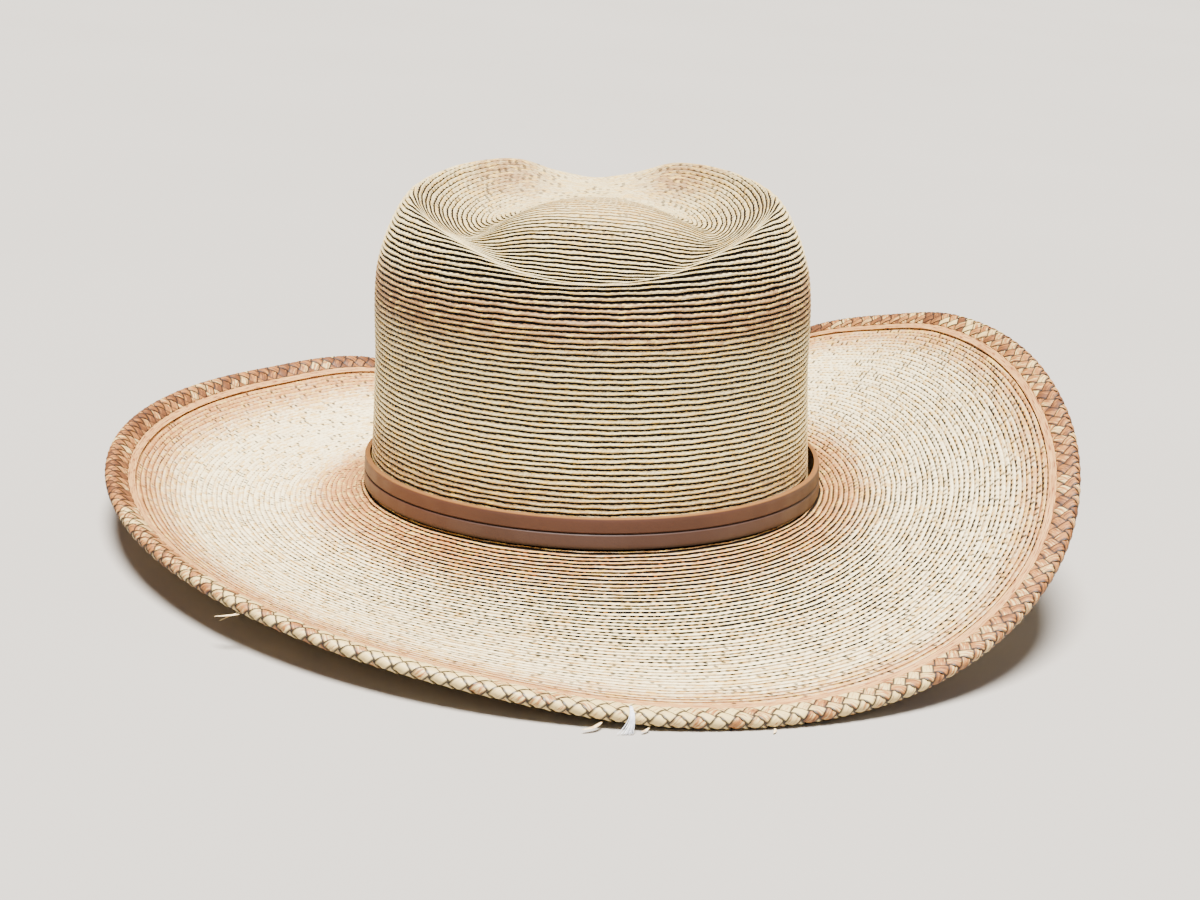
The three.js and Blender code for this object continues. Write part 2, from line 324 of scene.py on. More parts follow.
def edit(piece):
    """Opens one piece alone in edit mode, all of it selected."""
    bpy.ops.object.select_all(action="DESELECT")
    piece.select_set(True)
    bpy.context.view_layer.objects.active = piece
    bpy.ops.object.mode_set(mode="EDIT")
    bpy.ops.mesh.select_all(action="SELECT")


def joined(name, strands):
    """Joins strands into one piece."""
    bpy.ops.object.select_all(action="DESELECT")
    for strand in strands:
        strand.select_set(True)
    bpy.context.view_layer.objects.active = strands[0]
    bpy.ops.object.join()
    strands[0].name = strands[0].data.name = name
    return strands[0]


def close_up(piece, material, nodes, angle=40):
    """Merges the seams, turns the faces outwards, smooths the piece and fixes it to the hat."""
    for layer in list(piece.data.uv_layers):
        if layer.name not in OWN_UV_MAPS:
            piece.data.uv_layers.remove(layer)
    edit(piece)
    bpy.ops.mesh.remove_doubles(threshold=MERGE_DISTANCE)
    bpy.ops.mesh.normals_make_consistent(inside=False)
    bpy.ops.object.mode_set(mode="OBJECT")
    bpy.ops.object.shade_smooth_by_angle(angle=math.radians(angle))
    piece.data.materials.clear()
    piece.data.materials.append(material)
    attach(piece, "root")
    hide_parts(*nodes)


# Sheets of braid

def row_starts(rows):
    """Random starts of the waves along the edges of rows."""
    return chance.uniform(0, 2 * math.pi, (len(EDGE_WAVES), rows + 1, 1))


def row_waver(starts, count):
    """How far each row's edge strays from its place, as a part of a row, round the hat."""
    turn = np.radians(around(count))[None, :]
    waves = zip(EDGE_WAVES, starts)
    waver = sum(depth * np.sin(number * turn + start) for (number, depth), start in waves)
    waver[0] = waver[-1] = 0
    return waver


def row_section(first, last):
    """Row, part and height of each line of a sheet, up its outer face and back down its inner face."""
    outer = [(row, part, height) for row in range(first, last) for part, height in OUTER_ROW]
    outer.append((last - 1, 1.0, OUTER_ROW[0][1]))
    inner = [(last - 1, 1.0, INNER_ROW[0][1] - STRAW)]
    for row in range(last - 1, first - 1, -1):
        inner += [(row, part, height - STRAW) for part, height in reversed(INNER_ROW)]
    row, part, height = (np.array(column) for column in zip(*outer, *inner))
    return row, part, height, len(outer)


def between_rows(grid, place):
    """Values of a surface at places among its rows, line by line round the hat."""
    dense = np.arange(len(grid)) / DENSE
    lines = [[np.interp(place[:, i], dense, grid[:, i, axis]) for axis in range(3)]
             for i in range(grid.shape[1])]
    return np.stack(lines).transpose(2, 0, 1)


def plait_steps(points):
    """Whole number of plait steps round each row of a surface."""
    middle = points[DENSE // 2:-1:DENSE]
    girth = np.linalg.norm(np.roll(middle, -1, 1) - middle, axis=-1).sum(1)
    return np.maximum(np.round(girth / PLAIT_STEP), FEWEST_STEPS)


def set_row_places(piece, row, part, outer, steps, count):
    """UV map that counts plait steps along the rows, and rows up the sheet."""
    line, corner = corner_places(piece, count)
    face = np.repeat(corner.reshape(-1, 4).min(1), 4)
    row_of = np.append(row, row[0])
    part_of = np.append(part, part[0])
    face_row = np.minimum(row_of[face], row_of[np.minimum(face + 1, len(row))])
    v = np.clip(row_of[corner] + part_of[corner], face_row, face_row + 1)
    # Faces that join the two sides of the sheet show plain straw from the middle of a row
    joining = (face == outer - 1) | (face == len(row) - 1)
    v = np.where(joining, face_row + 0.3, v)
    # A face under a lip belongs to the row before it
    riser = (face < outer - 1) & (part_of[face] == 0)
    steps_of = steps[np.where(riser, np.maximum(face_row - 1, 0), face_row)]
    set_uv(piece, "rows", line / count * steps_of, v)


def braided(name, surface, rows, waver, look, nodes):
    """A sheet of braid from its first row to its last, with its outer and inner face."""
    points, normals = surface
    opening, most, toast_and_shading, material = look
    count = points.shape[1]
    row, part, height, outer = row_section(*rows)
    along, up_row = (row + part)[:, None], part[:, None]
    place = along + waver[row] * (1 - up_row) + waver[row + 1] * up_row
    at, up = between_rows(points, place), between_rows(normals, place)
    up /= np.maximum(np.linalg.norm(up, axis=-1, keepdims=True), TINY)
    swell = SWELL * (waver[row] * SWELL_STEEPNESS).clip(-1, 1) * (1 - up_row)
    shown = np.where(np.arange(len(row)) < outer, 1.0, 0.0)[:, None]
    angle = around(count)[None, :]
    gape = opening(along, angle)
    raised = height[:, None] * (1 + shown * GAPE_RISE * gape.clip(LEAST_GAPE, most)) + shown * swell
    piece = folded_grid(name, at + up * raised[..., None])
    set_row_places(piece, row, part, outer, plait_steps(points), count)
    set_values(piece, "toast_and_shading", wrapped(toast_and_shading(along, angle, shown)))
    set_values(piece, "open", wrapped(gape))
    close_up(piece, material, nodes)


# Nodes of materials

class Value:
    """A value over a surface: an output of a node, on which sums make further nodes."""

    def __init__(self, tree, socket):
        self.tree = tree
        self.socket = socket

    def __add__(self, other):
        return calc("ADD", self, other)

    def __sub__(self, other):
        return calc("SUBTRACT", self, other)

    def __rsub__(self, other):
        return calc("SUBTRACT", other, self)

    def __mul__(self, other):
        return calc("MULTIPLY", self, other)


def node(tree, kind, inputs=(), out=0, **settings):
    """Makes one node, sets or links its inputs and hands back one of its outputs."""
    made = tree.nodes.new(kind)
    for key, value in settings.items():
        setattr(made, key, value)
    for key, value in (inputs.items() if isinstance(inputs, dict) else enumerate(inputs)):
        if isinstance(value, Value):
            tree.links.new(value.socket, made.inputs[key])
        else:
            made.inputs[key].default_value = value
    return Value(tree, made.outputs[out])


def calc(operation, *values):
    """One sum on numbers and values, in the tree of the values."""
    tree = next(value.tree for value in values if isinstance(value, Value))
    return node(tree, "ShaderNodeMath", values, operation=operation)


def step_up(value, low, high, start=0.0, end=1.0):
    """Smooth change from start to end while a value goes from low to high."""
    inputs = (value, low, high, start, end)
    return node(value.tree, "ShaderNodeMapRange", inputs, interpolation_type="SMOOTHSTEP")


def blend(part, first, second):
    """Colour between two colours."""
    return node(part.tree, "ShaderNodeMix", {0: part, 6: first, 7: second}, out=2, data_type="RGBA")


def point(x, y, z):
    """A place made of three values."""
    return node(x.tree, "ShaderNodeCombineXYZ", (x, y, z))


def parts_of(place):
    """The three values of a place."""
    first = node(place.tree, "ShaderNodeSeparateXYZ", (place,))
    return [Value(place.tree, socket) for socket in first.socket.node.outputs]


def noise(place, detail, scale=1.0):
    """Clouds over a place."""
    return node(place.tree, "ShaderNodeTexNoise", {"Vector": place, "Scale": scale, "Detail": detail})


def random_of(first, second):
    """A random value for each pair of numbers."""
    place = point(first, second, 0.0)
    return node(place.tree, "ShaderNodeTexWhiteNoise", (place,), noise_dimensions="2D")


def object_place(tree):
    """Place on the hat, in metres."""
    return node(tree, "ShaderNodeTexCoord", out="Object")


def uv_place(tree, name):
    """Place on a UV map."""
    return node(tree, "ShaderNodeUVMap", uv_map=name)


def point_value(tree, name):
    """A value that each point of a piece holds."""
    return node(tree, "ShaderNodeAttribute", out="Fac", attribute_name=name)


def new_group(name, inputs, outputs):
    """A node group with named sockets: its inputs as values, and its output node."""
    tree = bpy.data.node_groups.new(name, "ShaderNodeTree")
    for socket, kind in inputs.items():
        tree.interface.new_socket(socket, in_out="INPUT", socket_type=kind)
    for socket in outputs:
        tree.interface.new_socket(socket, in_out="OUTPUT", socket_type="NodeSocketFloat")
    given = tree.nodes.new("NodeGroupInput")
    values = [Value(tree, given.outputs[socket]) for socket in inputs]
    return tree, values, tree.nodes.new("NodeGroupOutput")


def placed_group(tree, group, inputs):
    """Puts a node group into a material and hands back its outputs by name."""
    first = node(tree, "ShaderNodeGroup", inputs, node_tree=group)
    return {socket.name: Value(tree, socket) for socket in first.socket.node.outputs}


def colour(red, green, blue):
    """A colour as seen on a screen, 0 to 255, as light values."""
    return tuple((c / 12.92 if c <= 0.04045 else ((c + 0.055) / 1.055) ** 2.4)
                 for c in (red / 255, green / 255, blue / 255)) + (1.0,)


def new_material(name):
    """A material with its nodes and its shader."""
    material = bpy.data.materials.new(name)
    material.use_nodes = True
    return material, material.node_tree, material.node_tree.nodes["Principled BSDF"]


def feed(shader, name, value):
    """Links a value to one of a shader's inputs."""
    value.tree.links.new(value.socket, shader.inputs[name])


def feed_bump(shader, height, strength, distance):
    """Links a height to a shader as bump."""
    inputs = {"Strength": strength, "Distance": distance, "Height": height}
    feed(shader, "Normal", node(height.tree, "ShaderNodeBump", inputs))


# Sewn straw of crown and brim

# Where the two columns of strands meet across a row, their slant, and where along the row they cross
ROW_MIDDLE, STRAND_SLANT, CROSSING = 0.38, 0.85, 0.25

STRAW_YELLOW = colour(232, 196, 112)
STRAW_BROWN = colour(138, 94, 62)
SEAM_TAN = colour(176, 118, 66)
SEAM_BROWN = colour(118, 66, 40)
# Deep colour of the painted shadow under each lip, and of holes and strand gaps
STRAW_DEEP = colour(14, 6, 4)


def sewn_braid_group():
    """Plait of a row: painted shadow line under the lip, strand gaps, plait holes, strand tones and height.
    """
    inputs = {"Rows": "NodeSocketVector", "Dashes": "NodeSocketFloat", "Open": "NodeSocketFloat"}
    outputs = ("Line", "Seam", "Gap", "Hole", "Tone", "Height")
    tree, (rows, dashes, opened), result = new_group("sewn_braid", inputs, outputs)
    steps, up, _ = parts_of(rows)
    above_lip = up - LIP
    row = calc("FLOOR", above_lip)
    part = above_lip - row
    along = steps + random_of(row, 3.7) * 9.0
    drift = noise(point(along * 0.45, row * 5.3, 0.0), 2.0) - 0.5
    wave = calc("SINE", along * (2 * math.pi))
    # Painted shadow line under the lip of the row above, wavy, broken into dashes on the brim
    strayed = part + (wave * 0.075 + drift * 0.24)
    seam = step_up(strayed, 0.5, 0.78)
    unbroken = step_up(opened * 8.0 + (drift * 5.0 + wave * 0.7), -0.6, 0.4)
    line = step_up(strayed + opened, 0.64, 0.76) * (1.0 - dashes * (1.0 - unbroken))
    # Two columns of slanted strands that meet along the row's middle
    off_middle = part - ROW_MIDDLE
    side = calc("GREATER_THAN", part, ROW_MIDDLE)
    strand = along + calc("ABSOLUTE", off_middle) * STRAND_SLANT + side * 0.5
    number = calc("FLOOR", strand)
    across = strand - number
    gap = step_up(calc("MINIMUM", across, 1.0 - across), 0.1, 0.0)
    # Small holes here and there along the middle, where strands cross
    crossing = along + CROSSING
    hole_along = (calc("FRACT", crossing) - 0.5) * 4.6
    hole_across = off_middle * 3.7
    away = hole_along * hole_along + hole_across * hole_across
    seldom = step_up(random_of(calc("FLOOR", crossing), row * 2.17), 0.8, 0.9)
    hole = step_up(calc("EXPONENT", away * -0.6), 0.3, 0.64) * seldom
    # Strands are round across and fibrous along, each with its own tone
    fibre = noise(point(strand * 14.0, along * 1.3, row), 1.0)
    bulge = calc("SINE", across * math.pi)
    height = bulge * 0.5 + fibre * 0.3 - (line * 1.2 + hole)
    tone = random_of(number + side * 0.37, row * 1.31) * 0.7 + fibre * 0.5
    for name, value in zip(outputs, (line, seam, gap, hole, tone, height)):
        feed(result, name, value)
    return tree


sewn_braid = sewn_braid_group()


def straw_material(name, cream, tan, dashes, shadow_line_depth, hole_depth, seam_depth, gap_depth):
    """Sewn straw: cream strands toasted tan in places and painted darker as shade in others, with painted
    shadow between the rows.
    """
    material, tree, shader = new_material(name)
    opened = point_value(tree, "open")
    toast_and_shading = point_value(tree, "toast_and_shading")
    inputs = {"Rows": uv_place(tree, "rows"), "Dashes": dashes, "Open": opened}
    braid = placed_group(tree, sewn_braid, inputs)
    tone = braid["Tone"]
    cloud = noise(object_place(tree), 3.0, 38.0)
    # Toast with painted light and shade from the points, varied by clouds and strand tones
    toast_and_shading_sum = toast_and_shading + (cloud - 0.5) * 0.3 + (tone - 0.6) * 0.9
    base = blend(step_up(toast_and_shading_sum, -0.1, 0.9), cream, tan)
    base = blend(step_up(toast_and_shading_sum, 0.75, 1.5), base, STRAW_BROWN)
    base = blend(step_up(tone, 0.68, 0.95, 0.0, 0.8), base, STRAW_YELLOW)
    base = blend(step_up(tone, 0.36, 0.18, 0.0, 0.55), base, STRAW_BROWN)
    # Seams are tan, and brown where the toast value is high, which holds toasting with painted light and
    # shade
    seam_toast_and_shading = braid["Seam"] * step_up(toast_and_shading, 0.25, 0.85, 0.0, 0.65 * dashes)
    base = blend(braid["Seam"] * seam_depth, base, SEAM_TAN)
    base = blend(seam_toast_and_shading, base, SEAM_BROWN)
    # Painted shadow lines are darkest where rows gape, holes where they lie closed
    line = braid["Line"] * step_up(opened, -0.2, -0.06, 0.25 * shadow_line_depth, shadow_line_depth)
    hole = braid["Hole"] * step_up(opened, 0.06, -0.03, 0.3 * hole_depth, hole_depth)
    dark = calc("MAXIMUM", calc("MAXIMUM", line, hole), braid["Gap"] * gap_depth)
    # Painted shadow under each lip, with the dark of holes and strand gaps, in the deep colour
    feed(shader, "Base Color", blend(dark, base, STRAW_DEEP))
    feed(shader, "Roughness", step_up(tone, 0.0, 1.2, 0.5, 0.68))
    feed_bump(shader, braid["Height"], 0.8, 0.0003)
    shader.inputs["Specular IOR Level"].default_value = 0.35
    return material


# Crown and brim are the same straw; the brim's cream is painted lighter as painted light, and the crown's
# darker as painted shade
crown_straw = straw_material(
    "crown_braid", cream=colour(226, 208, 155), tan=colour(151, 114, 72),
    dashes=0.0, shadow_line_depth=0.98, hole_depth=0.7, seam_depth=0.25, gap_depth=0.46)
brim_straw = straw_material(
    "brim_braid", cream=colour(255, 240, 192), tan=colour(190, 132, 72),
    dashes=0.72, shadow_line_depth=0.98, hole_depth=0.86, seam_depth=0.3, gap_depth=0.2)

# Rows of the crown where its tones change: wall's foot, toasted belt with painted shade, edge of the dish,
# slopes of the dent with painted shade
FOOT_ROW, BELT_ROW, DISH_ROW, SLOPE_ROW = 18, 39, 54, 65
DENT_SLOPE_ANGLE = 36

# Distances from the crown where the brim's tones change: its toasted foot and its toasted edge
FOOT_REACH, EDGE_REACH = (7, 42), (62, 98)


def crown_toast_and_shade(row, angle, shown):
    """Toasted straw with painted shade: a belt below the shoulder and the wall's foot, toasted and painted
    darker at the sides as shade, and both slopes of the front dent, painted brown as shade.
    """
    dent = np.abs(np.mod(angle + 90 - DENT_TURN, 360) - 180)
    sides = np.abs(np.cos(np.radians(angle)))
    # Belt and foot are toasted, and painted darker at the sides as shade
    belt = (0.92 + 0.12 * sides) * hump(BELT_ROW, 6.0, row)
    foot = (0.5 + 0.3 * sides) * fade(FOOT_ROW, FOOT_ROW - 12, row)
    # Both slopes of the dent are painted brown as shade
    slopes = 0.75 * hump(DENT_SLOPE_ANGLE, 22.0, dent) * hump(SLOPE_ROW, 10.0, row)
    dish = 0.22 * fade(DISH_ROW, DISH_ROW + 6, row)
    top = np.maximum(slopes, dish) + 0.04
    return np.maximum(np.maximum(belt, foot), top) * (0.5 + 0.5 * shown)


def crown_opening(row, angle):
    """How far the rows gape: most along the shoulder, where the wall turns over into the dish."""
    back = -np.sin(np.radians(angle))
    wall = 0.07 * fade(SIDE_ROWS + 9, SIDE_ROWS - 1, row)
    shoulder = 0.19 * hump(SIDE_ROWS, 6.5, row) * (0.55 + 0.45 * back)
    mound = back * (0.29 * fade(DISH_ROW + 18, DISH_ROW + 3, row) - 0.2)
    dish = np.where(back > 0, mound, -0.12 * back**2) * fade(DISH_ROW - 4, DISH_ROW + 4, row)
    middle = fade(CROWN_ROWS - 6, CROWN_ROWS, row)
    return wall + shoulder + dish * (1 - middle) - 0.15 * middle


def brim_toast_and_light(row, angle, shown):
    """Toasted straw round the crown's foot and along the edge; less of it at the back and on the right, as
    painted light on those parts of the brim.
    """
    reach = brim_reach(row)
    near = np.clip(-np.sin(np.radians(angle)), 0, 1) ** 2
    right = np.clip(np.cos(np.radians(angle)), 0, 1)
    # Toast is lessened at the back and on the right as painted light there
    foot = fade(FOOT_REACH[1], FOOT_REACH[0], reach) * (1.02 - 0.3 * near)
    edge_start = EDGE_REACH[0] + 14 * near + 6 * right
    edge = fade(edge_start, EDGE_REACH[1], reach) * (0.94 - 0.12 * near - 0.14 * right)
    return np.maximum(np.maximum(foot, edge), 0.05 - 0.3 * near) * (0.6 + 0.4 * shown)


def brim_opening(row, angle):
    """How far the rows gape: a little along the back, elsewhere hardly at all; beside the strap the rows
    are opened wide, which paints the strap's shadow as broad dark lines.
    """
    back = -np.sin(np.radians(angle))
    right = np.cos(np.radians(angle))
    inwards = fade(4, BRIM_ROWS, row)
    # Rows opened wide beside the strap paint its shadow as broad dark lines
    strap_shadow = 0.35 * fade(1.6, 0.4, brim_reach(row) - strap_away(angle) - STRAP)
    sides = np.where(right > 0, 0.06, 0.03) * right
    ends = np.where(back > 0, back**2 * (0.24 * inwards - 0.06), 0.04 * back)
    return strap_shadow - 0.06 + sides + ends


# Looks of the sheets: their opening, the gape past which rows rise no more, their toast with painted light
# and shade, and their straw
crown_look = (crown_opening, 0.3, crown_toast_and_shade, crown_straw)
brim_look = (brim_opening, 0.03, brim_toast_and_light, brim_straw)
crown_starts = row_starts(CROWN_ROWS)
braided("crown_side", crown_surface(SIDE_LINES), (0, SIDE_ROWS),
        row_waver(crown_starts, SIDE_LINES), crown_look, ["crown"])
braided("crown_top", crown_surface(TOP_LINES), (SIDE_ROWS, CROWN_ROWS),
        row_waver(crown_starts, TOP_LINES), crown_look, ["crown"])
braided("brim_sheet", brim_surface(BRIM_LINES), (0, BRIM_ROWS),
        row_waver(row_starts(BRIM_ROWS), BRIM_LINES), brim_look, ["brim"])


# Leather strap round the crown

LEATHER_LOWER, LEATHER_UPPER = colour(66, 46, 41), colour(69, 41, 31)
LEATHER_CLOUD = colour(60, 36, 26)
LEATHER_LIT_LEFT, LEATHER_SHADED_RIGHT = colour(104, 57, 34), colour(46, 27, 20)
LEATHER_EDGE_HIGHLIGHT = colour(118, 78, 36)
LEATHER_LINE, LEATHER_FOOT_SHADOW = colour(38, 20, 18), colour(34, 19, 17)

# Rounding of the strap: where its face begins, how full it is, and where its edges turn
FACE_OUT, FACE_FULLNESS = 1.95, 0.05
EDGE_TURN = ((1.3, 0.0), (1.75, 0.15), (FACE_OUT, 0.6))
LINE_FLANK_OUT = 1.7
STRAP_GIRTH = 600.0


def leather_material():
    """Brown leather: worn tones, painted light on the left end and painted shade on the right end, a tooled
    line, a painted highlight along the upper edge, a painted shadow along the foot, and fine grain.
    """
    material, tree, shader = new_material("strap_leather")
    height = parts_of(uv_place(tree, "strap"))[1]
    place = object_place(tree)
    sideways = parts_of(place)[0]
    cloud = noise(place, 4.0, 55.0)
    grain = node(tree, "ShaderNodeTexVoronoi", {"Vector": place, "Scale": 1500.0})
    pores = noise(place, 2.0, 900.0)
    off_line = calc("ABSOLUTE", height - LINE_AT)
    base = blend(step_up(height, LINE_AT - 0.03, LINE_AT + 0.03), LEATHER_LOWER, LEATHER_UPPER)
    base = blend(step_up(cloud, 0.35, 0.75, 0.0, 0.5), base, LEATHER_CLOUD)
    # Painted light on the strap's left end, painted shade on its right end
    base = blend(step_up(sideways, -0.04, -0.085, 0.0, 0.35), base, LEATHER_LIT_LEFT)
    base = blend(step_up(sideways, 0.06, 0.09, 0.0, 0.6), base, LEATHER_SHADED_RIGHT)
    # Painted highlight along the upper edge
    base = blend(step_up(height, 0.95, 0.985), base, LEATHER_EDGE_HIGHLIGHT)
    base = blend(step_up(off_line, 0.045, 0.012), base, LEATHER_LINE)
    # Painted shadow along the foot, where it meets the brim
    base = blend(step_up(height, 0.1, 0.03, 0.0, 0.9), base, LEATHER_FOOT_SHADOW)
    feed(shader, "Base Color", base)
    feed(shader, "Roughness", step_up(cloud, 0.3, 0.7, 0.55, 0.68))
    feed_bump(shader, grain * 0.5 + pores * 0.5, 0.25, 0.00015)
    shader.inputs["Specular IOR Level"].default_value = 0.3
    return material


def full_face(low, high):
    """Points of a slightly full stretch of the strap's face, between two heights."""
    return [(FACE_OUT + FACE_FULLNESS * math.sin(math.pi * part), low + part * (high - low))
            for part in (0.25, 0.5, 0.75)]


def strap_section():
    """Distance from the back and height, from the back's foot round the face to the back's top."""
    line = STRAP_HEIGHT * LINE_AT
    low_side, high_side = line - LINE_WIDTH / 2, line + LINE_WIDTH / 2
    foot = [(0.0, 0.0), *EDGE_TURN]
    top = [(out, STRAP_HEIGHT - height) for out, height in reversed(foot)]
    groove = [(FACE_OUT, low_side), (LINE_FLANK_OUT, line - LINE_WIDTH / 4), (STRAP - LINE_DEPTH, line),
              (LINE_FLANK_OUT, line + LINE_WIDTH / 4), (FACE_OUT, high_side)]
    edge = EDGE_TURN[-1][1]
    return foot + full_face(edge, low_side) + groove + full_face(high_side, STRAP_HEIGHT - edge) + top


def make_strap():
    """Strap that lies against the crown, slack at both sides, with its foot just clear of the brim."""
    angle = around(STRAP_LINES)
    back = strap_away(angle)
    slope = np.tan(np.radians(between(brim_table, 1, angle)))
    foot = GAP + np.maximum(0, slope) * (back + STRAP)
    section = strap_section()
    piece = folded_grid("hat_strap", np.stack([oval(angle, foot + height, back + out)
                                               for out, height in section]))
    line, corner = corner_places(piece, STRAP_LINES)
    heights = np.array([height for _, height in section + section[:1]]) / STRAP_HEIGHT
    set_uv(piece, "strap", line * STRAP_GIRTH / STRAP_LINES, heights[corner])
    close_up(piece, leather_material(), ["hat_band"], 35)


make_strap()


# Plaited straw folded over the brim's edge

# Pitch of the plait, share of it that a strand covers, reach of the fold, lie of its strands, fineness
PLAIT_PITCH, STRAND_SHARE, PLAIT_LEG = 6.6, 0.96, 6.4
MID_AWAY, STRAND_SWING, EDGE_POINTS = 0.92, 0.3, 1441
STRAND_SECTION = np.array(((-1.0, 0.0), (-0.5, 0.13), (0.5, 0.13), (1.0, 0.0), (0.0, -0.2), (-1.0, 0.0)))
STRAND_STATIONS, STRAND_PAST, STRAND_TUCK, TUCK_DEPTH = 33, 1.2, 1.5, 0.25

# Heights of the straw below the plait, its steps along and across on the UV map
GROUND_TOP, GROUND_BOTTOM = -0.22, -0.55
GROUND_ALONG, GROUND_ACROSS = 4.0, 0.5

PLAIT_CREAM, PLAIT_TAN = colour(216, 190, 126), colour(156, 101, 48)
# Deep colour is the painted shade at the strands' edges and where they dive
PLAIT_BROWN, PLAIT_DEEP = colour(98, 57, 27), colour(24, 11, 6)
STRIP_PALE, STRIP_TAN, STRIP_STREAK = colour(208, 160, 100), colour(168, 114, 62), colour(110, 50, 28)

fold_radius = STRAW / 2 + MID_AWAY
fold_length = math.pi * fold_radius
plait_width = 2 * PLAIT_LEG + fold_length
edge_angles = np.linspace(0, 360, EDGE_POINTS)
edge_points = brim(edge_angles, BRIM_REACH, -STRAW / 2)
edge_steps = np.linalg.norm(np.diff(edge_points, axis=0), axis=-1)
edge_length = np.concatenate([[0], np.cumsum(edge_steps)])


def on_plait(along, across, height):
    """Points of the folded plait, by place along the edge, place across it from below, and height."""
    angle = np.interp(np.mod(along, edge_length[-1]), edge_length, edge_angles)
    turn = np.clip((across - PLAIT_LEG) / fold_length, 0, 1) * math.pi - math.pi / 2
    radius = fold_radius + height
    below = np.minimum(across - PLAIT_LEG, 0)
    above = np.maximum(across - PLAIT_LEG - fold_length, 0)
    reach = SHEET_REACH + below - above + radius * np.cos(turn)
    return brim(angle, reach, radius * np.sin(turn) - STRAW / 2)


def straw_fibres_group():
    """Fibres along a flat straw: long clouds, drawn out by their own number along and across it."""
    inputs = {"Strand": "NodeSocketVector", "Along": "NodeSocketFloat", "Across": "NodeSocketFloat",
              "Layer": "NodeSocketFloat"}
    tree, (strand, along, across, layer), result = new_group("straw_fibres", inputs, ("Fibre",))
    u, v, _ = parts_of(strand)
    feed(result, "Fibre", noise(point(u * along, v * across, layer), 3.0))
    return tree


straw_fibres = straw_fibres_group()


def plait_material():
    """Flat straw of the plait: cream to brown strands, with painted shade along their edges and where they
    dive under the crossing strands.
    """
    material, tree, shader = new_material("edge_plait_straw")
    strand = uv_place(tree, "strand")
    across = parts_of(strand)[1]
    tone = point_value(tree, "tone")
    lie = point_value(tree, "lie")
    inputs = {"Strand": strand, "Along": 0.25, "Across": 3.5, "Layer": tone * 40.0}
    fibre = placed_group(tree, straw_fibres, inputs)["Fibre"]
    mixed = tone + (fibre - 0.5) * 1.5
    base = blend(step_up(mixed, 0.25, 0.6), PLAIT_CREAM, PLAIT_TAN)
    base = blend(step_up(mixed, 0.66, 0.92), base, PLAIT_BROWN)
    # Painted shade along the strands' edges, and where each dives under the crossing strand
    rim = step_up(calc("ABSOLUTE", across), 0.58, 0.86)
    dark = calc("MAXIMUM", rim * 0.95, step_up(lie, 0.25, -0.6, 0.0, 0.85))
    feed(shader, "Base Color", blend(dark, base, PLAIT_DEEP))
    feed(shader, "Roughness", step_up(fibre, 0.2, 0.8, 0.42, 0.62))
    feed_bump(shader, fibre, 0.4, 0.0002)
    return material


def strip_material():
    """Flat straw under the plait, toasted, with fibres and dark streaks along it."""
    material, tree, shader = new_material("edge_strip_straw")
    strand = uv_place(tree, "strand")
    along, across, _ = parts_of(strand)
    inputs = {"Strand": strand, "Along": 0.06, "Across": 6.0, "Layer": 0.0}
    fibre = placed_group(tree, straw_fibres, inputs)["Fibre"]
    streak = noise(point(along * 0.16, across * 4.0, 7.0), 1.0)
    base = blend(step_up(fibre, 0.3, 0.7), STRIP_PALE, STRIP_TAN)
    base = blend(step_up(streak, 0.54, 0.64, 0.0, 0.8), base, STRIP_STREAK)
    feed(shader, "Base Color", base)
    feed_bump(shader, fibre, 0.4, 0.0002)
    shader.inputs["Roughness"].default_value = 0.55
    return material


def strand_tones(strands, pitch):
    """Tone of the strands along the edge, lightest at the back, in slow waves."""
    number = np.arange(strands)
    places = np.interp(number * pitch, edge_length, edge_angles)
    back = np.clip(-np.sin(np.radians(places + 20)), 0, 1) ** 3
    waves = 0.12 * np.sin(number * 0.7) * np.sin(number * 0.19)
    return 0.7 - 0.06 * np.cos(np.radians(places)) - 0.54 * back + waves


def plait_strand(strip, way, start, pitch, tone):
    """A copy of a strip, laid slantwise round the edge, over and under the strands that cross it."""
    strand = strip.copy()
    strand.data = strip.data.copy()
    bpy.context.collection.objects.link(strand)
    wide, rise = STRAND_SECTION.T
    stations = np.linspace(-STRAND_PAST, plait_width + STRAND_PAST, STRAND_STATIONS)
    slant = wide * (STRAND_SHARE * pitch / math.sqrt(8)) / math.sqrt(2)
    swing = way * np.cos(2 * math.pi * (stations - plait_width / 2) / pitch)
    ends = fade(-STRAND_PAST, STRAND_TUCK, stations)
    ends = ends * fade(plait_width + STRAND_PAST, plait_width - STRAND_TUCK, stations)
    height = STRAND_SWING * swing * ends - TUCK_DEPTH * (1 - ends)
    across = stations[:, None] + slant
    along = start - way * plait_width / 2 + way * stations[:, None] - way * slant
    points = on_plait(along, across.clip(0, plait_width), height[:, None] + rise)
    strand.data.vertices.foreach_set("co", standing(points).ravel())
    place, side = corner_places(strand, len(wide) - 1)[::-1]
    set_uv(strand, "strand", stations[place] * math.sqrt(2), wide[side])
    set_values(strand, "tone", np.full(along.shape, tone))
    set_values(strand, "lie", np.repeat(swing, len(wide)))
    return strand


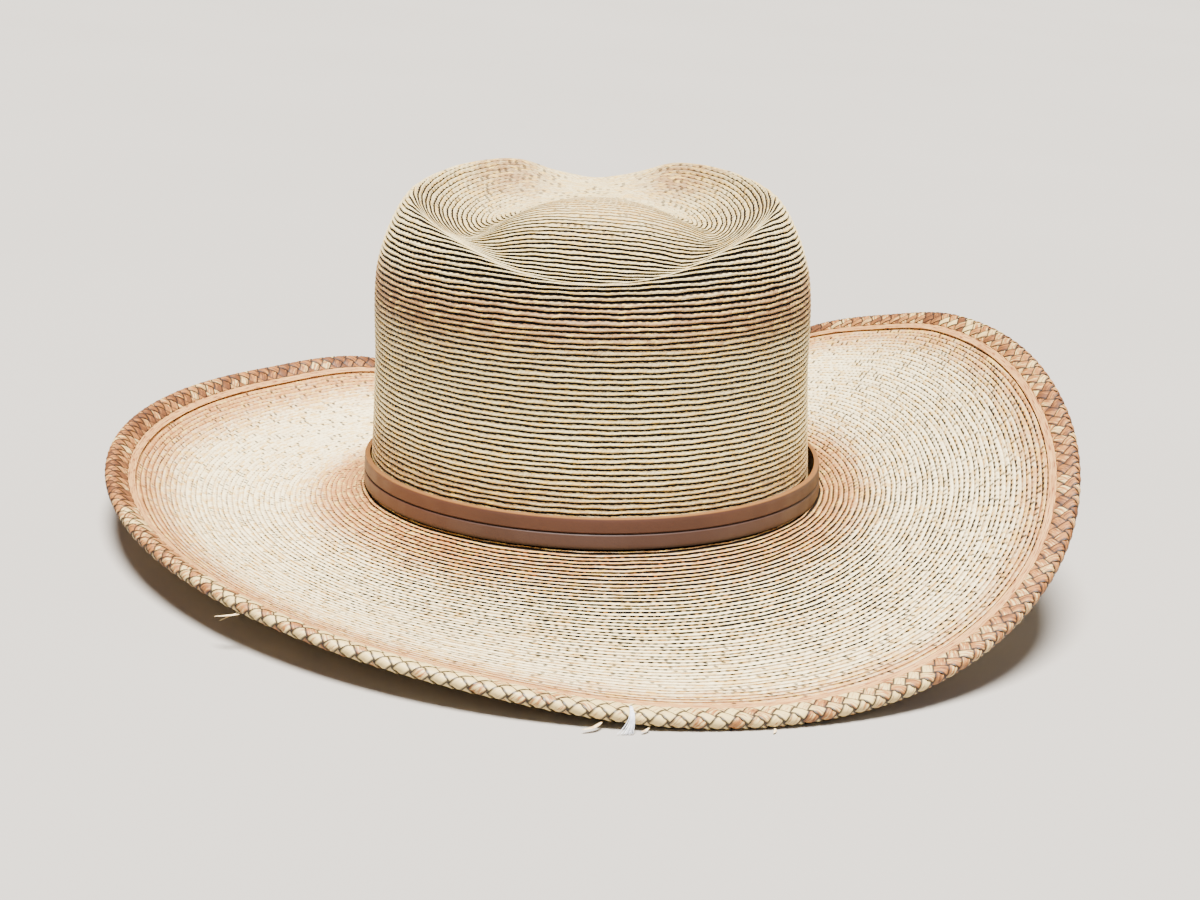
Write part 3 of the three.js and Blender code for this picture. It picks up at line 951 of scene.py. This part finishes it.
def make_plait():
    """Two families of flat strands at half a right angle, each over and under the other."""
    strands = round(edge_length[-1] / PLAIT_PITCH)
    pitch = edge_length[-1] / strands
    tones = strand_tones(strands, pitch)
    strip = new_grid(len(STRAND_SECTION) - 1, STRAND_STATIONS - 1)
    laid = []
    for way in (1, -1):
        for number in range(strands):
            tone = np.clip(tones[number] + chance.normal(0, 0.14), 0, 1)
            laid.append(plait_strand(strip, way, number * pitch, pitch, tone))
    bpy.data.objects.remove(strip)
    piece = joined("edge_plait", laid)
    edit(piece)
    bpy.ops.mesh.remove_doubles(threshold=MERGE_DISTANCE)
    bpy.ops.mesh.select_mode(type="EDGE")
    bpy.ops.mesh.select_all(action="DESELECT")
    bpy.ops.mesh.select_non_manifold(extend=False)
    bpy.ops.mesh.edge_face_add()
    bpy.ops.object.mode_set(mode="OBJECT")
    close_up(piece, plait_material(), ["edge_binding"], 50)


def make_plait_ground():
    """Thin layer of straw that closes the chinks between the plait's strands."""
    spare = BINDING_WIDTH - PLAIT_LEG
    fold_end = PLAIT_LEG + fold_length
    places = np.concatenate([np.linspace(-spare, PLAIT_LEG, 7), np.linspace(PLAIT_LEG, fold_end, 9)[1:-1],
                             np.linspace(fold_end, plait_width + spare, 7)])
    along = np.interp(around(GROUND_LINES), edge_angles, edge_length)[None, :]
    outer = on_plait(along, places[:, None], GROUND_TOP)
    inner = on_plait(along, places[::-1, None], GROUND_BOTTOM)
    piece = folded_grid("plait_ground", np.concatenate([outer, inner]))
    line, corner = corner_places(piece, GROUND_LINES)
    across = np.concatenate([places, places[::-1], places[:1]])
    set_uv(piece, "strand", line * GROUND_ALONG, across[corner] * GROUND_ACROSS)
    close_up(piece, strip_material(), ["edge_binding"])


make_plait()
make_plait_ground()


# Loose ends along the edge: a tuft of white thread and frayed straws

TUFT_AT, TUFT_THREADS = 266.0, 13
THREAD_HALF_WIDTH = 0.16
STRAND_POINTS, STRAND_SIDES = 15, 6
FLOOR_CLEARANCE = 0.6

# Frayed straws: stops as angle, distance past the edge and height, half the width, half the thickness
FRAYED_STRAWS = (
    (((226.1, -1, -3.3), (225.3, 1.6, -5.0), (223.9, 2.6, -7.2)), 0.8, 0.12),
    (((225.7, -1, -3.3), (225.1, 1.0, -5.8), (224.3, 1.4, -8.2)), 0.4, 0.1),
    (((263.4, -1, -3.3), (262.7, 2.0, -4.4), (261.6, 4.2, -5.4)), 0.7, 0.12),
    (((267.6, -0.6, -3.2), (267.2, 1.2, -3.6), (266.8, 2.2, -3.8)), 0.5, 0.1),
    (((279.4, -0.6, -3.2), (279.2, 1.4, -3.6), (278.8, 3.4, -3.9)), 0.45, 0.1),
)


def fibre_material(name, light, dark):
    """Fibres in two mottled tones."""
    material, tree, shader = new_material(name)
    cloud = noise(object_place(tree), 2.0, 900.0)
    feed(shader, "Base Color", blend(step_up(cloud, 0.35, 0.65), light, dark))
    shader.inputs["Roughness"].default_value = 0.7
    return material


def unit(vectors):
    """Vectors of length 1."""
    return vectors / np.linalg.norm(vectors, axis=1, keepdims=True)


def loose_strand(stops, half_width, half_thick):
    """A strand through stops given as angle, distance past the edge and height, pointed at both ends."""
    angle, past, raised = np.array(stops, float).T
    stops = standing(brim(angle, BRIM_REACH + past, raised))
    parts = np.linspace(0, 1, STRAND_POINTS)
    path = smooth_curve(stops[None], parts)[0]
    path[:, 2] = np.maximum(path[:, 2], FLOOR_CLEARANCE * MM)
    run = np.gradient(path, axis=0)
    across = unit(np.cross(run, (0, 0, 1.0)))
    over = unit(np.cross(across, run))
    full = np.sqrt(np.sin(parts * math.pi).clip(0, 1))[:, None, None] * MM
    turn = np.linspace(0, 2 * math.pi, STRAND_SIDES + 1)[None, :, None]
    ring = half_width * np.cos(turn) * across[:, None] + half_thick * np.sin(turn) * over[:, None]
    strand = new_grid(STRAND_SIDES, STRAND_POINTS - 1)
    strand.data.vertices.foreach_set("co", (path[:, None] + full * ring).ravel())
    return strand


def tuft_thread(spread):
    """A thread of the tuft: out from under the plait, over the edge and down, fanned out at its end."""
    lean = spread + chance.normal(0, 0.15)
    end = 3.2 + chance.uniform(0, 1.4)
    stops = ((TUFT_AT + 0.1 * lean, -8.4, 0.4), (TUFT_AT + 0.1 * lean, -4, 1.75),
             (TUFT_AT + 0.2 * lean, 0.9, 0.4), (TUFT_AT - 0.2 + 0.35 * lean, 2.0, -2.2),
             (TUFT_AT - 0.7 + 0.65 * lean, end, -5.5))
    return loose_strand(stops, THREAD_HALF_WIDTH, THREAD_HALF_WIDTH)


def make_loose_ends():
    """The tuft and the frayed straws, each as one piece."""
    thread = fibre_material("white_thread", colour(236, 238, 244), colour(204, 208, 222))
    frayed = fibre_material("frayed_straw", colour(240, 222, 178), colour(206, 168, 116))
    threads = [tuft_thread(spread) for spread in np.linspace(-1, 1, TUFT_THREADS)]
    close_up(joined("thread_tuft", threads), thread, [], 60)
    straws = [loose_strand(*straw) for straw in FRAYED_STRAWS]
    close_up(joined("loose_straws", straws), frayed, [], 60)


make_loose_ends()


# Floor, light and camera

FLOOR_SIZE = 14
FLOOR_GREY, FLOOR_PALE = colour(157, 153, 148), colour(164, 160, 155)
SKY, SKY_STRENGTH = (0.9, 0.92, 0.95, 1), 0.2
HAT_MIDDLE = (0, 0, 0.06)


def make_floor():
    """Plain pale floor."""
    bpy.ops.object.select_all(action="DESELECT")
    bpy.ops.mesh.primitive_plane_add(size=FLOOR_SIZE)
    floor = bpy.context.object
    floor.name = "studio_floor"
    material, tree, shader = new_material("pale_floor")
    feed(shader, "Base Color", blend(noise(object_place(tree), 2.0, 3.0), FLOOR_GREY, FLOOR_PALE))
    shader.inputs["Roughness"].default_value = 0.8
    floor.data.materials.append(material)


def soft_light(name, place, size, power, tint):
    """Round soft light that faces the hat."""
    bpy.ops.object.light_add(type="AREA", location=place)
    lamp = bpy.context.object
    lamp.name = name
    lamp.data.shape = "DISK"
    lamp.data.size = size
    lamp.data.energy = power
    lamp.data.color = tint
    aim = Vector(HAT_MIDDLE) - Vector(place)
    lamp.rotation_euler = aim.to_track_quat("-Z", "Y").to_euler()


def overhead_light(tilt_back, tilt_side, strength, spread):
    """Wide even light from above, as bright far out on the floor as on the hat."""
    bpy.ops.object.light_add(type="SUN", location=(0, 0, 2))
    lamp = bpy.context.object
    lamp.name = "overhead_light"
    lamp.data.energy = strength
    lamp.data.angle = math.radians(spread)
    lamp.data.color = (1.0, 0.96, 0.9)
    lamp.rotation_euler = (math.radians(tilt_back), math.radians(tilt_side), 0)


def make_sky():
    """Faint light from all round."""
    world = bpy.data.worlds.new("studio")
    world.use_nodes = True
    background = world.node_tree.nodes["Background"]
    background.inputs["Color"].default_value = SKY
    background.inputs["Strength"].default_value = SKY_STRENGTH
    bpy.context.scene.world = world


def make_camera():
    """Camera at the photograph's place beside the hat, carried along by the hat's lean."""
    turn, pitch, roll = (math.radians(angle) for angle in (CAMERA_TURN, CAMERA_PITCH, CAMERA_ROLL))
    level = np.array([1, 0, 0])
    upright = np.array([0, math.sin(pitch), math.cos(pitch)])
    right = level * math.cos(roll) + upright * math.sin(roll)
    up = upright * math.cos(roll) - level * math.sin(roll)
    to_crown = np.array([[math.cos(turn), math.sin(turn), 0],
                         [-math.sin(turn), math.cos(turn), 0],
                         [0, 0, 1]])
    axes = [leaning(to_crown @ axis) for axis in (right, up, np.cross(right, up))]
    matrix = np.eye(4)
    matrix[:3, :3] = np.array(axes).T
    matrix[:3, 3] = standing(to_crown @ np.array(CAMERA_AT))
    data = bpy.data.cameras.new("photo_camera")
    data.sensor_width = SENSOR
    data.lens = CAMERA_LENS
    camera = bpy.data.objects.new("photo_camera", data)
    bpy.context.collection.objects.link(camera)
    camera.matrix_world = Matrix(matrix.tolist())
    bpy.context.scene.camera = camera


make_floor()
overhead_light(tilt_back=8, tilt_side=-4, strength=19.0, spread=24)
soft_light("front_light", place=(-0.9, -1.5, 0.9), size=1.2, power=3, tint=(1.0, 0.97, 0.93))
soft_light("right_light", place=(1.6, -0.4, 0.8), size=1.0, power=5, tint=(1.0, 0.97, 0.95))
make_sky()
make_camera()
